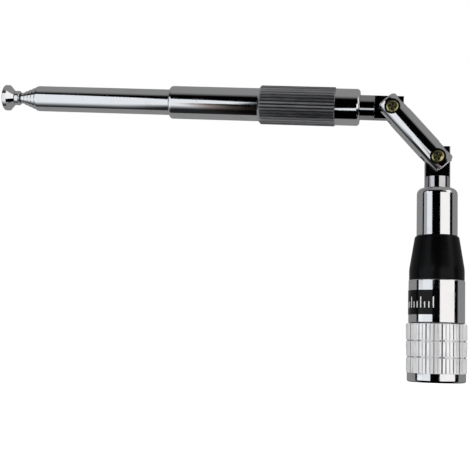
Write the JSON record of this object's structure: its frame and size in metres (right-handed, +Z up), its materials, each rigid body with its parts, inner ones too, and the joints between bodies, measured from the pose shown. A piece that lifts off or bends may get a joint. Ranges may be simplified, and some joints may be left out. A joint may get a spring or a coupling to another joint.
{
  "type": "telescopic antenna",
  "caption": "Chromed telescopic whip antenna with a bayonet coaxial plug, a two-pivot elbow bent at a right angle, a fluted locking sleeve and a closed nested mast with a button tip.",
  "frame": {"origin": "on the plug's axis at the open end of its contact barrel, level with the rim of the coupling ring", "axes": "+Z up the plug's axis toward the elbow; the mast leans toward -X; both elbow pivots lie along Y with their screw heads on the -Y side"},
  "size_m": [0.1191, 0.0144, 0.0739],
  "materials": {
    "bright_chrome": "bright polished plating",
    "nickel_brass": "satin nickel over brass",
    "gold_brass": "gold flash",
    "screw_brass": "dull olive yellow plating",
    "clip_brass": "bare spring brass",
    "copper_wire": "enamelled wire",
    "spring_steel": "plain spring steel",
    "black_plastic": "semi-matte moulded black",
    "white_insulator": "waxy white",
    "label_film": "smooth black film",
    "gasket": "soft silicone"
  },
  "bodies": {
    "base": {"plug_body": "nickel_brass", "plug_insulator": "white_insulator", "centre_contact": "gold_brass", "seal_gasket": "gasket", "base_tube": "bright_chrome", "label_band": "label_film", "taper_sleeve": "black_plastic", "coil_former": "white_insulator", "matching_coil": "copper_wire", "ferrule": "bright_chrome", "lower_knuckle": "bright_chrome"},
    "coupling_ring": {"coupling_ring": "bright_chrome", "retaining_clip": "spring_steel", "wave_washer": "spring_steel"},
    "link": {"link_bar": "bright_chrome", "lower_pivot_screw": "screw_brass", "upper_pivot_screw": "screw_brass"},
    "mast": {"upper_knuckle": "bright_chrome", "mast_tube_1": "bright_chrome"},
    "lock_sleeve": {"lock_sleeve": "bright_chrome", "sleeve_spring": "spring_steel"},
    "section_2": {"mast_tube_2": "bright_chrome", "friction_clip_2": "clip_brass"},
    "section_3": {"mast_tube_3": "bright_chrome", "friction_clip_3": "clip_brass"},
    "section_4": {"mast_tube_4": "bright_chrome", "friction_clip_4": "clip_brass"},
    "section_5": {"mast_tube_5": "bright_chrome", "friction_clip_5": "clip_brass"},
    "section_6": {"tip_rod": "bright_chrome", "friction_clip_6": "clip_brass", "tip_button": "bright_chrome"}
  },
  "joints": [
    {"name": "coupling_ring_turn", "type": "hinge", "parent": "base", "child": "coupling_ring", "pos_m": [0, 0, 0.00695], "axis": [0, 0, 1], "continuous": true},
    {"name": "lower_elbow", "type": "hinge", "parent": "base", "child": "link", "pos_m": [0, 0, 0.05443], "axis": [0, -1, 0], "range_deg": [-41.55, 8.45]},
    {"name": "upper_elbow", "type": "hinge", "parent": "link", "child": "mast", "pos_m": [-0.01107, 0, 0.06692], "axis": [0, -1, 0], "range_deg": [-46.35, 3.65]},
    {"name": "lock_sleeve_slide", "type": "slide", "parent": "mast", "child": "lock_sleeve", "axis": [-0.9993, 0, 0.0366], "range_m": [0, 0.03435]},
    {"name": "section_2_slide", "type": "slide", "parent": "mast", "child": "section_2", "axis": [-0.9993, 0, 0.0366], "range_m": [0, 0.0691]},
    {"name": "section_3_slide", "type": "slide", "parent": "section_2", "child": "section_3", "axis": [-0.9993, 0, 0.0366], "range_m": [0, 0.06935]},
    {"name": "section_4_slide", "type": "slide", "parent": "section_3", "child": "section_4", "axis": [-0.9993, 0, 0.0366], "range_m": [0, 0.0696]},
    {"name": "section_5_slide", "type": "slide", "parent": "section_4", "child": "section_5", "axis": [-0.9993, 0, 0.0366], "range_m": [0, 0.06985]},
    {"name": "section_6_slide", "type": "slide", "parent": "section_5", "child": "section_6", "axis": [-0.9993, 0, 0.0366], "range_m": [0, 0.0701]}
  ]
}
